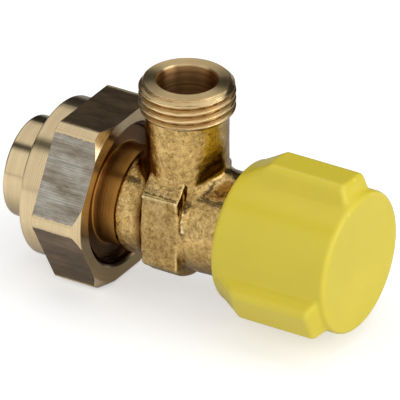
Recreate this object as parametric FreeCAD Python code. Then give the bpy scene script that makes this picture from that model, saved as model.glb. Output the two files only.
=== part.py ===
import FreeCAD, Part
import math
import os

# Angle valve with a union inlet, a threaded outlet branch and a three-lobed handwheel.
# Millimetres. The origin is the centre of the inlet socket's mouth. +X runs along the inlet,
# spindle and handwheel axis, and +Z along the outlet branch. Every turned piece is about X.

# Standard sizes
half_inch_major_r = 20.955 / 2         # outlet thread, G 1/2 outside
union_pitch_r = 31.770 / 2             # union thread, G 1, both halves drawn at the pitch line
headwork_thread_r = 16.662 / 2         # headwork thread, G 3/8
pipe_od = 18.0                         # copper pipe that is soldered into the inlet

# How far a cut runs past what it cuts, or a joined piece into its neighbour
overshoot = 1.0

# How closely an edge's place is matched when it is picked for rounding
pick_tolerance = 0.1

# Broken edge of small turned pieces
edge_round = 0.3

# Clearances
thread_gap = 0.05                      # between the two halves of a thread, on the radius
running_gap = 0.05                     # between turning or sliding round faces, on the radius
loose_gap = 0.25                       # between the swivel nut's lip and the tail
solder_gap = 0.05                      # between pipe and socket, on the radius
seal_gap = 0.03                        # between an O-ring and the bore that it seals in

# Tail piece with solder socket
tail_bare_length = 8.1                 # from the inlet mouth to the union nut
tail_wall = 2.3                        # round the solder socket
flange_gap = 1.135                     # between the flange's rim and the union nut's bore
tail_flange_thickness = 3.0
socket_depth = 12.7
waterway_r = 7.6                       # bore behind the socket, and in the body's inlet
tail_mouth_round = 0.5

# Union nut, 38 mm across flats
nut_flat_wall = 3.065                  # from the bore to a flat
nut_corner_height = 2.4                # of the hexagon's turned-down corners above its flats
nut_hex_length = 11.3
nut_collar_length = 5.5
nut_collar_wall = 1.815
nut_collar_round = 0.4
nut_lip_thickness = 3.4
nut_face_margin = 0.7                  # of the flat end ring beyond the flats
nut_chamfer_length = 1.5
nut_mouth_bevel = 0.565                # widening of the bore at its mouth
nut_turned = 1.2                       # degrees that the hexagon is turned from flat side up

# Union gasket
gasket_thickness = 2.0
gasket_wall = 5.6                      # from its hole to its rim

# Body, from the inlet to the handwheel
spigot_length = 6.2                    # threaded end that takes the union nut
spigot_chamfer = 1.0
relief_length = 5.3
relief_step = 0.55                     # from the relief up to the neck
relief_foot_round = 0.6                # hollow at the spigot
neck_land = 0.1                        # of the neck, behind the hollow at the branch's foot
collar_length = 8.2
collar_height = 2.05                   # above the barrel
collar_round = 1.1
collar_foot_round = 1.2                # hollow from the collar to the barrel
flat_height = 0.15                     # of the wrench flats above the barrel
pad_length = 9.1                       # of the flats, along the main axis
pad_low = 9.3                          # a flat's lower edge, below the main axis
pad_high = 8.5                         # its upper edge, from where the pad slopes up to the branch
pad_corner_round = 2.2
pad_brow_round = 0.7                   # of the upper edge
pad_edge_round = 0.6
barrel_length = 14.2
barrel_r = 11.75                       # also of the neck behind the collar
barrel_round = 0.8
outlet_from_collar = 4.7               # from the collar's inlet side to the outlet axis

# Outlet branch
outlet_height = 32.6                   # from the main axis to the outlet face
outlet_thread_length = 6.5
outlet_chamfer = 1.1
outlet_undercut = 1.0                  # height of the slope under the thread
branch_r = 9.1
branch_foot_round = 2.6                # hollow where the branch meets the body
outlet_bore_r = 6.4
outlet_mouth_bevel = 0.4
outlet_mouth_depth = 0.9

# Valve seat and chamber
seat_from_bore = 0.1                   # from the outlet bore to the seat's edge
seat_bore_r = 5.4
seat_lip_height = 1.2
seat_lip_wall = 0.9
seat_wall = 1.6                        # thickness of the web that carries the lip
seat_web_round = 0.8
chamber_step = 0.531                   # from the headwork's thread in to the chamber
headwork_thread_length = 8.0

# Plunger, seat washer and its screw
stroke = 4.0
lead_per_turn = 2.0                    # of the spindle's left-hand thread
washer_thickness = 2.5
cup_gap = 0.5                          # between the plunger's cup and the chamber
cup_wall = 0.5
cup_depth = 1.0
cup_round = 0.4
plunger_head_thickness = 1.9
plunger_thread_floor = 4.2             # from the plunger head's back to the floor of its thread
plunger_lug_length = 1.6
plunger_lug_width = 3.6
plunger_lug_inset = 0.2                # from the skirt's outside down to the lug's
plunger_tail_land = 0.8                # behind the O-ring groove
screw_head_r = 2.7
screw_head_thickness = 1.3
screw_slot_width = 0.7
screw_slot_depth = 0.6
screw_r = 1.5
screw_length = 6.4
screw_end_gap = 0.4
screw_disc_r = 3.6
screw_disc_thickness = 0.5

# Headwork
skirt_from_bore = 0.2                  # from the outlet bore to the headwork's open end
skirt_gap = 0.4                        # between the skirt and the chamber
skirt_wall = 1.65
thread_shoulder = 0.2                  # between the body's step and the headwork's thread
lug_slot_spare = 0.4                   # slot left over at each end of the lug's travel
bonnet_ring_thickness = 1.0
bonnet_ring_wall = 2.6
bonnet_hex_length = 5.0
bonnet_across_flats = 20.0
bonnet_hex_chamfer = 0.7
bonnet_face_margin = 0.3               # of the flat end ring beyond the flats
bonnet_neck_length = 6.5
bonnet_neck_wall = 2.75
bonnet_neck_round = 0.5
bonnet_shoulder = 1.4                  # wall over the thrust washer

# Spindle and what it carries
spindle_r = 4.0
spindle_thread_step = 0.2              # from the stem down to the thread
spindle_collar_gap = 0.35              # between the thrust collar and the bonnet's bore
spindle_collar_length = 1.4
spindle_end_gap = 0.4                  # between the plunger and the spindle at full travel
spindle_end_round = 0.4
thrust_washer_thickness = 0.7
stem_ring_section = 1.25               # thickness of the two stem O-rings
plunger_ring_section = 1.3
groove_side_gap = 0.15
first_ring_inset = 1.6                 # from the bonnet's shoulder to the first O-ring
ring_spacing = 2.6
clip_washer_thickness = 0.5
clip_washer_wall = 1.7
clip_thickness = 0.8
clip_groove_depth = 0.75
clip_wall = 2.0
clip_opening = 70.0                    # degrees
spline_shoulder = 1.0
spline_length = 6.9
spline_teeth = 20
spline_tooth_height = 0.4

# Handwheel
wheel_rim_gap = 1.55                   # between the handwheel's rim and the barrel
wheel_wall = 2.6
wheel_front_wall = 3.0
wheel_length = 28.2
wheel_front_round = 1.0
wheel_rear_round = 0.6
wheel_disc_length = 1.3                # plain rim in front of the lobes
lobe_count = 3
lobe_turned = 3.5                      # degrees from the outlet branch to the first lobe
lobe_height = 3.3                      # of a lobe's flat above the round core
lobe_half_width = 4.5
lobe_flare = 0.8                       # widening of a lobe towards its foot, each side
lobe_front_slope = 1.7
lobe_rear_slope = 7.4
lobe_setback = 0.6                     # from the rim's rear rounding to a lobe's rear slope
lobe_round = 1.6                       # along a lobe's flat
lobe_end_round = 1.0                   # between a lobe's faces and its sloped ends
lobe_foot_round = 0.9                  # hollow all round a lobe's foot
hub_wall = 2.6
hub_gap = 0.05                         # between the spindle's shoulder and the hub
tip_gap = 0.6                          # between the spindle's end and the handwheel
rib_thickness = 1.6
rib_length = 6.0

# Radii that follow
nut_bore_r = union_pitch_r + thread_gap
nut_mouth_r = nut_bore_r + nut_mouth_bevel
nut_collar_r = nut_bore_r + nut_collar_wall
nut_flat_r = nut_bore_r + nut_flat_wall
nut_corner_r = nut_flat_r + nut_corner_height
nut_face_r = nut_flat_r + nut_face_margin
tail_flange_r = nut_bore_r - flange_gap
socket_r = pipe_od / 2 + solder_gap
tail_r = socket_r + tail_wall
relief_r = barrel_r - relief_step
collar_r = barrel_r + collar_height
flat_y = barrel_r + flat_height
outlet_mouth_r = outlet_bore_r + outlet_mouth_bevel
chamber_r = headwork_thread_r - chamber_step
cup_r = chamber_r - cup_gap
washer_r = cup_r - cup_wall
skirt_r = chamber_r - skirt_gap
bonnet_bore_r = skirt_r - skirt_wall
plunger_r = bonnet_bore_r - running_gap
lug_r = skirt_r - plunger_lug_inset
stem_bore_r = spindle_r + running_gap
bonnet_neck_r = stem_bore_r + bonnet_neck_wall
spindle_thread_r = spindle_r - spindle_thread_step
spindle_collar_r = bonnet_bore_r - spindle_collar_gap
stem_groove_r = stem_bore_r - seal_gap - stem_ring_section
plunger_groove_r = bonnet_bore_r - seal_gap - plunger_ring_section
wheel_inside_r = barrel_r + wheel_rim_gap
wheel_core_r = wheel_inside_r + wheel_wall
lobe_reach = wheel_core_r + lobe_height
lobe_foot_half_width = lobe_half_width + lobe_flare
hub_r = spindle_r + hub_wall

# Places along the main axis
nut_rear = tail_bare_length
flange_rear = nut_rear + nut_lip_thickness
flange_front = flange_rear + tail_flange_thickness
body_rear = flange_front + gasket_thickness
spigot_front = body_rear + spigot_length
relief_front = spigot_front + relief_length
neck_length = neck_land + branch_foot_round + branch_r - outlet_from_collar
collar_rear = relief_front + neck_length
collar_front = collar_rear + collar_length
body_front = collar_front + barrel_length
outlet_x = collar_rear + outlet_from_collar
nut_hex_rear = nut_rear + nut_collar_length
nut_front = nut_hex_rear + nut_hex_length

seat_x = outlet_x - outlet_bore_r - seat_from_bore
plunger_head_rear = seat_x + washer_thickness
plunger_head_front = plunger_head_rear + plunger_head_thickness
plunger_floor = plunger_head_front + plunger_thread_floor
skirt_rear = outlet_x + outlet_bore_r + skirt_from_bore
lug_rear = skirt_rear + lug_slot_spare
lug_front = lug_rear + plunger_lug_length
slot_front = lug_front + stroke + lug_slot_spare
plunger_groove_width = plunger_ring_section + 2 * groove_side_gap
plunger_groove_rear = slot_front + lug_slot_spare
plunger_front = plunger_groove_rear + plunger_groove_width + plunger_tail_land
spindle_rear = plunger_floor + stroke + spindle_end_gap
spindle_collar_rear = plunger_front + stroke + spindle_end_gap
spindle_collar_front = spindle_collar_rear + spindle_collar_length
bonnet_step = spindle_collar_front + thrust_washer_thickness

headwork_rear = body_front - headwork_thread_length
bonnet_hex_rear = body_front + bonnet_ring_thickness
bonnet_hex_front = max(bonnet_hex_rear + bonnet_hex_length, bonnet_step + bonnet_shoulder)
bonnet_front = bonnet_hex_front + bonnet_neck_length
clip_rear = bonnet_front + clip_washer_thickness
clip_front = clip_rear + clip_thickness
spline_rear = clip_front + spline_shoulder
spindle_front = spline_rear + spline_length
wheel_inner_front = spindle_front + tip_gap
wheel_front = wheel_inner_front + wheel_front_wall
wheel_rear = wheel_front - wheel_length
hub_rear = spline_rear + hub_gap
lobe_rear_foot = wheel_rear + wheel_rear_round + lobe_setback
lobe_front_foot = wheel_front - wheel_disc_length

X_AXIS = FreeCAD.Vector(1, 0, 0)
Z_AXIS = FreeCAD.Vector(0, 0, 1)
ORIGIN = FreeCAD.Vector(0, 0, 0)


def wire_with_rounds(corners):
    """Closed wire through (u, v, radius) corners, given as 3-D vectors with a radius each."""
    edges = []
    starts = []
    ends = []
    count = len(corners)
    for i in range(count):
        before, here, after = corners[i - 1][0], corners[i][0], corners[(i + 1) % count][0]
        radius = corners[i][1]
        if radius <= 0:
            starts.append(here)
            ends.append(here)
            continue
        to_before = (before - here).normalize()
        to_after = (after - here).normalize()
        half = to_before.getAngle(to_after) / 2
        reach = radius / math.tan(half)
        start = here + to_before * reach
        end = here + to_after * reach
        bisector = (to_before + to_after).normalize()
        centre = here + bisector * (radius / math.sin(half))
        middle = centre - bisector * radius
        edges.append(Part.Arc(start, middle, end).toShape())
        starts.append(start)
        ends.append(end)
    for i in range(count):
        a, b = ends[i], starts[(i + 1) % count]
        if (b - a).Length > 1e-6:
            edges.append(Part.LineSegment(a, b).toShape())
    return Part.Wire(Part.__sortEdges__(edges))


def turned(corners):
    """Solid turned about X from (x, radius, rounding) corners."""
    listed = [(FreeCAD.Vector(c[0], 0, c[1]), c[2] if len(c) > 2 else 0) for c in corners]
    face = Part.Face(wire_with_rounds(listed))
    return face.revolve(ORIGIN, X_AXIS, 360)


def rod(radius, rear, front):
    """Round bar along X."""
    return Part.makeCylinder(radius, front - rear, FreeCAD.Vector(rear, 0, 0), X_AXIS)


def ring(inner, outer, rear, front):
    """Flat ring about X."""
    return rod(outer, rear, front).cut(rod(inner, rear, front))


def o_ring(inner, section, middle):
    """O-ring about X, by its inner radius and its thickness."""
    return Part.makeTorus(inner + section / 2, section / 2, FreeCAD.Vector(middle, 0, 0), X_AXIS)


def hexagon_corner_r(across_flats):
    """Distance from a hexagon's middle to its sharp corners."""
    return across_flats / math.sqrt(3)


def hexagon(across_flats, rear, front, turned_by=0.0):
    """Hexagonal bar along X. With turned_by 0 it has a flat side up."""
    corner_r = hexagon_corner_r(across_flats)
    points = []
    for k in range(7):
        angle = math.radians(60 * k + 30 + turned_by)
        points.append(FreeCAD.Vector(rear, corner_r * math.sin(angle), corner_r * math.cos(angle)))
    return Part.Face(Part.makePolygon(points)).extrude(FreeCAD.Vector(front - rear, 0, 0))


def box_between(low, high):
    """Box from its two far corners."""
    size = [h - l for l, h in zip(low, high)]
    return Part.makeBox(*size, FreeCAD.Vector(*low))


def spline_bar(tip_r, rear, front, spread=0.0):
    """Bar along X with pointed teeth all round. spread moves every face outwards."""
    points = []
    for k in range(2 * spline_teeth + 1):
        angle = math.pi * k / spline_teeth
        radius = (tip_r if k % 2 == 0 else tip_r - spline_tooth_height) + spread
        points.append(FreeCAD.Vector(rear, radius * math.sin(angle), radius * math.cos(angle)))
    return Part.Face(Part.makePolygon(points)).extrude(FreeCAD.Vector(front - rear, 0, 0))


def tail_piece():
    """Solder socket with the flange that the union nut pulls against the gasket."""
    outside = turned([
        (0, 0), (0, tail_r, tail_mouth_round), (flange_rear, tail_r),
        (flange_rear, tail_flange_r, edge_round), (flange_front, tail_flange_r, edge_round),
        (flange_front, 0),
    ])
    socket = rod(socket_r, 0, socket_depth)
    return outside.cut(socket).cut(rod(waterway_r, 0, flange_front))


def union_nut():
    """Swivel nut: hexagon with turned corners, a round collar and the lip that holds the tail."""
    hexagonal = hexagon(2 * nut_flat_r, nut_hex_rear, nut_front, nut_turned)
    envelope = turned([
        (nut_hex_rear, 0), (nut_hex_rear, nut_corner_r), (nut_front - nut_chamfer_length, nut_corner_r),
        (nut_front, nut_face_r), (nut_front, 0),
    ])
    collar = turned([
        (nut_rear, 0), (nut_rear, nut_collar_r, nut_collar_round),
        (nut_hex_rear, nut_collar_r), (nut_hex_rear, 0),
    ])
    hollow = turned([
        (nut_rear, 0), (nut_rear, tail_r + loose_gap), (flange_rear, tail_r + loose_gap),
        (flange_rear, nut_bore_r), (nut_front - nut_mouth_bevel, nut_bore_r), (nut_front, nut_mouth_r),
        (nut_front, 0),
    ])
    return hexagonal.common(envelope).fuse(collar).cut(hollow).removeSplitter()


def union_gasket():
    """Flat gasket between the tail's flange and the body."""
    return ring(tail_flange_r - gasket_wall, tail_flange_r, flange_front, body_rear)


def body_outside():
    """The forging's outer form: turned main run, wrench collar and outlet branch."""
    spigot = turned([
        (body_rear, 0), (body_rear, union_pitch_r - spigot_chamfer),
        (body_rear + spigot_chamfer, union_pitch_r),
        (spigot_front - spigot_chamfer, union_pitch_r), (spigot_front, union_pitch_r - spigot_chamfer),
        (spigot_front, relief_r, relief_foot_round), (relief_front, relief_r), (relief_front, 0),
    ])
    return branched_barrel().fuse(wrench_collar()).fuse(spigot)


def branched_barrel():
    """Round barrel with the outlet branch growing out of it through a hollow rounding."""
    barrel = rod(barrel_r, relief_front, body_front)
    branch = Part.makeCylinder(branch_r, outlet_height, FreeCAD.Vector(outlet_x, 0, 0), Z_AXIS)
    joined = barrel.fuse(branch).removeSplitter()
    foot = []
    for edge in joined.Edges:
        box = edge.BoundBox
        on_barrel = box.ZMin > 0 and box.ZMax < barrel_r + pick_tolerance
        if on_barrel and box.YLength > branch_r - pick_tolerance:
            foot.append(edge)
    rounded = joined.makeFillet(branch_foot_round, foot)
    ends = []
    for edge in rounded.Edges:
        box = edge.BoundBox
        if box.XLength < pick_tolerance and box.YLength > 2 * barrel_r - pick_tolerance:
            ends.append(edge)
    return rounded.makeFillet(barrel_round, ends)


def wrench_collar():
    """Round collar that carries two flat wrench pads, with a hollow rounding to the barrel."""
    inner = barrel_r - overshoot
    foot_front = collar_front + collar_foot_round + overshoot
    collar = turned([
        (collar_rear, inner), (collar_rear, collar_r, collar_round), (collar_front, collar_r, collar_round),
        (collar_front, barrel_r, collar_foot_round), (foot_front, barrel_r), (foot_front, inner),
    ])
    collar = collar.common(box_between((collar_rear, -flat_y, -collar_r), (foot_front, flat_y, collar_r)))
    return collar.fuse(wrench_pads()).cut(rod(inner, collar_rear, foot_front))


def wrench_pads():
    """Block with rounded edges whose two far sides are the flats. It slopes up into the branch."""
    roof_y = math.sqrt(branch_r ** 2 - outlet_from_collar ** 2) - overshoot
    roof_z = pad_high + flat_y - roof_y
    corners = [
        (-flat_y, -pad_low, pad_corner_round), (flat_y, -pad_low, pad_corner_round),
        (flat_y, pad_high, pad_brow_round), (roof_y, roof_z, 0),
        (-roof_y, roof_z, 0), (-flat_y, pad_high, pad_brow_round),
    ]
    outline = wire_with_rounds([(FreeCAD.Vector(collar_rear, y, z), radius) for y, z, radius in corners])
    block = Part.Face(outline).extrude(FreeCAD.Vector(pad_length, 0, 0))
    ends = [edge for edge in block.Edges if edge.BoundBox.XLength < pad_length / 2]
    return block.makeFillet(pad_edge_round, ends)


def outlet_thread():
    """Plain ring at the outlet thread's outer diameter, chamfered at the top and sloped below."""
    bottom = outlet_height - outlet_thread_length
    corners = [
        (0, bottom - outlet_undercut), (branch_r, bottom - outlet_undercut), (half_inch_major_r, bottom),
        (half_inch_major_r, outlet_height - outlet_chamfer),
        (half_inch_major_r - outlet_chamfer, outlet_height),
        (0, outlet_height),
    ]
    points = [FreeCAD.Vector(outlet_x + r, 0, z) for r, z in corners]
    face = Part.Face(Part.makePolygon(points + points[:1]))
    return face.revolve(FreeCAD.Vector(outlet_x, 0, 0), Z_AXIS, 360)


def waterways():
    """Everything bored out of the body: inlet, seat, chamber, headwork thread and outlet."""
    lip_r = seat_bore_r + seat_lip_wall
    chamber_floor = seat_x - seat_lip_height
    web_rear = chamber_floor - seat_wall
    along = turned([
        (body_rear, 0), (body_rear, waterway_r),
        (web_rear, waterway_r, seat_web_round), (web_rear, seat_bore_r),
        (seat_x, seat_bore_r), (seat_x, lip_r), (chamber_floor, lip_r), (chamber_floor, chamber_r),
        (headwork_rear, chamber_r), (headwork_rear, headwork_thread_r), (body_front, headwork_thread_r),
        (body_front, 0),
    ])
    up = Part.makeCylinder(outlet_bore_r, outlet_height, FreeCAD.Vector(outlet_x, 0, 0), Z_AXIS)
    mouth = Part.makeCone(outlet_bore_r, outlet_mouth_r, outlet_mouth_depth,
                          FreeCAD.Vector(outlet_x, 0, outlet_height - outlet_mouth_depth), Z_AXIS)
    return along.fuse(up).fuse(mouth)


def valve_body():
    """Forged body with union spigot, wrench collar, barrel and outlet branch."""
    return body_outside().fuse(outlet_thread()).cut(waterways()).removeSplitter()


def bonnet():
    """Headwork housing: slotted skirt, thread, hexagon and stem neck."""
    thread_r = headwork_thread_r - thread_gap
    outside = turned([
        (skirt_rear, 0), (skirt_rear, skirt_r, edge_round), (headwork_rear + thread_shoulder, skirt_r),
        (headwork_rear + thread_shoulder, thread_r), (bonnet_hex_rear, thread_r), (bonnet_hex_rear, 0),
    ])
    hexagonal = hexagon(bonnet_across_flats, bonnet_hex_rear, bonnet_hex_front)
    corner_r = hexagon_corner_r(bonnet_across_flats)
    envelope = turned([
        (bonnet_hex_rear, 0), (bonnet_hex_rear, corner_r), (bonnet_hex_front - bonnet_hex_chamfer, corner_r),
        (bonnet_hex_front, bonnet_across_flats / 2 + bonnet_face_margin), (bonnet_hex_front, 0),
    ])
    neck = turned([
        (bonnet_hex_front, 0), (bonnet_hex_front, bonnet_neck_r),
        (bonnet_front, bonnet_neck_r, bonnet_neck_round),
        (bonnet_front, 0),
    ])
    hollow = turned([
        (skirt_rear, 0), (skirt_rear, bonnet_bore_r), (bonnet_step, bonnet_bore_r),
        (bonnet_step, stem_bore_r), (bonnet_front, stem_bore_r), (bonnet_front, 0),
    ])
    slot_half = plunger_lug_width / 2 + running_gap
    slots = box_between((skirt_rear, -slot_half, -skirt_r), (slot_front, slot_half, skirt_r))
    whole = outside.fuse(hexagonal.common(envelope)).fuse(neck)
    return whole.cut(hollow).cut(slots).removeSplitter()


def bonnet_ring():
    """Flat sealing ring under the headwork's hexagon."""
    return ring(headwork_thread_r, headwork_thread_r + bonnet_ring_wall, body_front, bonnet_hex_rear)


def spindle():
    """Non-rising spindle: thread, thrust collar, grooved stem and toothed end."""
    solid = turned([
        (spindle_rear, 0), (spindle_rear, spindle_thread_r, spindle_end_round),
        (spindle_collar_rear, spindle_thread_r),
        (spindle_collar_rear, spindle_collar_r), (spindle_collar_front, spindle_collar_r),
        (spindle_collar_front, spindle_r), (spline_rear, spindle_r), (spline_rear, 0),
    ])
    solid = solid.fuse(spline_bar(spindle_r, spline_rear, spindle_front))
    for middle in stem_ring_places():
        half = stem_ring_section / 2 + groove_side_gap
        solid = solid.cut(ring(stem_groove_r, spindle_r + overshoot, middle - half, middle + half))
    solid = solid.cut(ring(spindle_r - clip_groove_depth, spindle_r + overshoot, clip_rear, clip_front))
    return solid.removeSplitter()


def stem_ring_places():
    """Middles of the two stem O-rings."""
    first = bonnet_step + first_ring_inset
    return [first, first + ring_spacing]


def stem_ring(place):
    """Stem O-ring, resting in its groove."""
    return o_ring(stem_groove_r, stem_ring_section, place)


def thrust_washer():
    """Slip washer between the spindle's collar and the bonnet's step."""
    return ring(spindle_r + running_gap, bonnet_bore_r - running_gap, spindle_collar_front, bonnet_step)


def clip_washer():
    """Washer between the bonnet and the circlip."""
    return ring(spindle_r + running_gap, spindle_r + clip_washer_wall, bonnet_front, clip_rear)


def circlip():
    """Open ring in the spindle's groove."""
    inner = spindle_r - clip_groove_depth
    whole = ring(inner, inner + clip_wall, clip_rear, clip_front)
    reach = 2 * (inner + clip_wall)
    half = math.radians(clip_opening / 2)
    gap = Part.Face(Part.makePolygon([
        FreeCAD.Vector(clip_rear, 0, 0),
        FreeCAD.Vector(clip_rear, -reach * math.sin(half), -reach * math.cos(half)),
        FreeCAD.Vector(clip_rear, reach * math.sin(half), -reach * math.cos(half)),
        FreeCAD.Vector(clip_rear, 0, 0),
    ])).extrude(FreeCAD.Vector(clip_thickness, 0, 0))
    return whole.cut(gap)


def plunger():
    """Plunger with washer cup, guide lugs, O-ring groove and blind spindle thread."""
    solid = turned([
        (plunger_head_rear - cup_depth, 0), (plunger_head_rear - cup_depth, cup_r),
        (plunger_head_front, cup_r, cup_round), (plunger_head_front, plunger_r, edge_round),
        (plunger_front, plunger_r), (plunger_front, 0),
    ])
    solid = solid.cut(rod(washer_r, plunger_head_rear - cup_depth, plunger_head_rear))
    solid = solid.cut(rod(spindle_thread_r + running_gap, plunger_floor, plunger_front))
    solid = solid.cut(rod(screw_r + thread_gap, plunger_head_rear, plunger_head_rear + screw_hole_depth()))
    groove_front = plunger_groove_rear + plunger_groove_width
    groove = ring(plunger_groove_r, plunger_r + overshoot, plunger_groove_rear, groove_front)
    solid = solid.cut(groove)
    lugs = box_between((lug_rear, -plunger_lug_width / 2, -lug_r), (lug_front, plunger_lug_width / 2, lug_r))
    lugs = lugs.common(rod(lug_r, lug_rear, lug_front))
    lugs = lugs.cut(rod(spindle_thread_r + overshoot, lug_rear, lug_front))
    return solid.fuse(lugs).removeSplitter()


def screw_hole_depth():
    """How far the washer screw reaches into the plunger, with room at its end."""
    return screw_length - washer_thickness - screw_disc_thickness + screw_end_gap


def plunger_ring():
    """O-ring that keeps water out of the spindle's thread."""
    return o_ring(plunger_groove_r, plunger_ring_section, plunger_groove_rear + plunger_groove_width / 2)


def seat_washer():
    """Rubber disc that closes on the seat."""
    return ring(screw_r + thread_gap, washer_r - thread_gap, seat_x, plunger_head_rear)


def screw_disc():
    """Metal disc under the screw's head."""
    return ring(screw_r + thread_gap, screw_disc_r, seat_x - screw_disc_thickness, seat_x)


def washer_screw():
    """Slotted cheese-head screw that holds the seat washer."""
    head_front = seat_x - screw_disc_thickness
    head_rear = head_front - screw_head_thickness
    solid = turned([
        (head_rear, 0), (head_rear, screw_head_r, edge_round),
        (head_front, screw_head_r), (head_front, screw_r),
        (head_front + screw_length, screw_r, edge_round), (head_front + screw_length, 0),
    ])
    slot = box_between((head_rear, -screw_head_r, -screw_slot_width / 2),
                       (head_rear + screw_slot_depth, screw_head_r, screw_slot_width / 2))
    return solid.cut(slot)


def lobe():
    """One lobe, pointing up: flared sides, sloped ends and rounded edges. Its root is in the core."""
    foot = math.sqrt(wheel_core_r ** 2 - lobe_foot_half_width ** 2)
    root = foot / 2
    root_half_width = lobe_foot_half_width + lobe_flare * (foot - root) / (lobe_reach - foot)
    start = wheel_rear + wheel_rear_round
    section = [
        (-root_half_width, root, 0), (-lobe_half_width, lobe_reach, lobe_round),
        (lobe_half_width, lobe_reach, lobe_round), (root_half_width, root, 0),
    ]
    face = Part.Face(wire_with_rounds([(FreeCAD.Vector(start, y, z), radius) for y, z, radius in section]))
    bar = face.extrude(FreeCAD.Vector(wheel_front - wheel_front_round - start, 0, 0))
    rise = lobe_reach + overshoot - wheel_core_r
    sloped = turned([
        (lobe_rear_foot - lobe_rear_slope, 0), (lobe_rear_foot - lobe_rear_slope, wheel_core_r - rise),
        (lobe_rear_foot + lobe_rear_slope, wheel_core_r + rise),
        (lobe_front_foot - lobe_front_slope, wheel_core_r + rise),
        (lobe_front_foot + lobe_front_slope, wheel_core_r - rise), (lobe_front_foot + lobe_front_slope, 0),
    ])
    sloped.rotate(ORIGIN, X_AXIS, 180)
    solid = bar.common(sloped)
    ends = []
    for edge in solid.Edges:
        middle = edge.valueAt((edge.FirstParameter + edge.LastParameter) / 2)
        if math.hypot(middle.y, middle.z) > wheel_core_r and edge.BoundBox.XLength < wheel_length / 2:
            ends.append(edge)
    return solid.makeFillet(lobe_end_round, ends)


def lobed_grip():
    """Round core with the lobes round it, and a hollow rounding all round each lobe's foot."""
    grip = turned([
        (wheel_rear, 0), (wheel_rear, wheel_core_r, wheel_rear_round),
        (wheel_front, wheel_core_r, wheel_front_round), (wheel_front, 0),
    ])
    grip.rotate(ORIGIN, X_AXIS, 180 / lobe_count)
    for k in range(lobe_count):
        piece = lobe()
        piece.rotate(ORIGIN, X_AXIS, -lobe_turned - 360 * k / lobe_count)
        grip = grip.fuse(piece)
    feet = []
    for edge in grip.Edges:
        off_core = max(abs(math.hypot(point.y, point.z) - wheel_core_r) for point in edge.discretize(5))
        whole_circle = edge.BoundBox.YLength > wheel_core_r
        whole_length = edge.BoundBox.XLength > lobe_front_foot - lobe_rear_foot
        if off_core < pick_tolerance and not whole_circle and not whole_length:
            feet.append(edge)
    return grip.makeFillet(lobe_foot_round, feet)


def handwheel():
    """Moulded handwheel: lobed grip, inner hub with a toothed bore, and ribs."""
    grip = lobed_grip().cut(rod(wheel_inside_r, wheel_rear, wheel_inner_front))
    inner = rod(hub_r, hub_rear, wheel_inner_front + overshoot)
    for k in range(lobe_count):
        rib = box_between((wheel_inner_front - rib_length, -rib_thickness / 2, hub_r - overshoot),
                          (wheel_inner_front + overshoot, rib_thickness / 2, wheel_inside_r + overshoot))
        rib.rotate(ORIGIN, X_AXIS, -lobe_turned - 360 * k / lobe_count)
        inner = inner.fuse(rib)
    bore = spline_bar(spindle_r, hub_rear, wheel_inner_front, running_gap)
    return grip.fuse(inner).cut(bore).removeSplitter()


def main():
    rings = stem_ring_places()
    nodes = {
        "tail_piece": tail_piece(),
        "union_nut": union_nut(),
        "union_gasket": union_gasket(),
        "valve_body": valve_body(),
        "headwork_bonnet": bonnet(),
        "bonnet_seal_ring": bonnet_ring(),
        "spindle": spindle(),
        "stem_o_ring_inner": stem_ring(rings[0]),
        "stem_o_ring_outer": stem_ring(rings[1]),
        "thrust_washer": thrust_washer(),
        "clip_washer": clip_washer(),
        "spindle_circlip": circlip(),
        "plunger": plunger(),
        "plunger_o_ring": plunger_ring(),
        "seat_washer": seat_washer(),
        "washer_disc": screw_disc(),
        "washer_screw": washer_screw(),
        "handwheel": handwheel(),
    }
    os.makedirs("parts", exist_ok=True)
    for name, shape in nodes.items():
        if not shape.isValid() or len(shape.Solids) != 1:
            raise ValueError(f"{name}: valid {shape.isValid()}, {len(shape.Solids)} solids")
        shape.Solids[0].exportStep(f"parts/{name}.step")
        box = shape.BoundBox
        print(f"{name:20s} x {box.XMin:6.2f} to {box.XMax:6.2f}  volume {shape.Volume:9.1f}")


main()
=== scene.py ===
import math

import bmesh
import bpy
from mathutils import Matrix, Vector, geometry, noise


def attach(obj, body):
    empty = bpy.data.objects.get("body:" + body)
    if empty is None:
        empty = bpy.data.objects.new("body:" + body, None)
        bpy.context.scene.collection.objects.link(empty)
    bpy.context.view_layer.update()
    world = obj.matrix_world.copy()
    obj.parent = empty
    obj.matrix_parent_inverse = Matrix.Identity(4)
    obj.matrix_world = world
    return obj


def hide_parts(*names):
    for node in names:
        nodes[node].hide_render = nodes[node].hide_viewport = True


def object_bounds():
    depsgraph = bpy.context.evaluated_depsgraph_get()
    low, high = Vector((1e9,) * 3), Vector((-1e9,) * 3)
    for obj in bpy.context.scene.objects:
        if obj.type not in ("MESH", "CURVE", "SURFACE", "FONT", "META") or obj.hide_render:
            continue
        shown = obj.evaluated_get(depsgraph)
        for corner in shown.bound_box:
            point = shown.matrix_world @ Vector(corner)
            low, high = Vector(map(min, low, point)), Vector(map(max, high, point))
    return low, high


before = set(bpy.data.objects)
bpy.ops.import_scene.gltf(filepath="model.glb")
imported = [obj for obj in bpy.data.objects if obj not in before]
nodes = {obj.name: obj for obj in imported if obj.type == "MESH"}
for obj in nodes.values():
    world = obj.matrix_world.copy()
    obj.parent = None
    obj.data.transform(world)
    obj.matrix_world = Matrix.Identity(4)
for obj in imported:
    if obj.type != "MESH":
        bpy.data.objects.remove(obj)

cad_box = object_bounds()

# Lengths below are in millimetres and follow the solids; everything is built in metres.
MM = 0.001

# Rings of points that the turned and threaded pieces are made of
ring_points = 192
sharp_edge = math.radians(32)            # an edge stays sharp from this angle on

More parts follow.
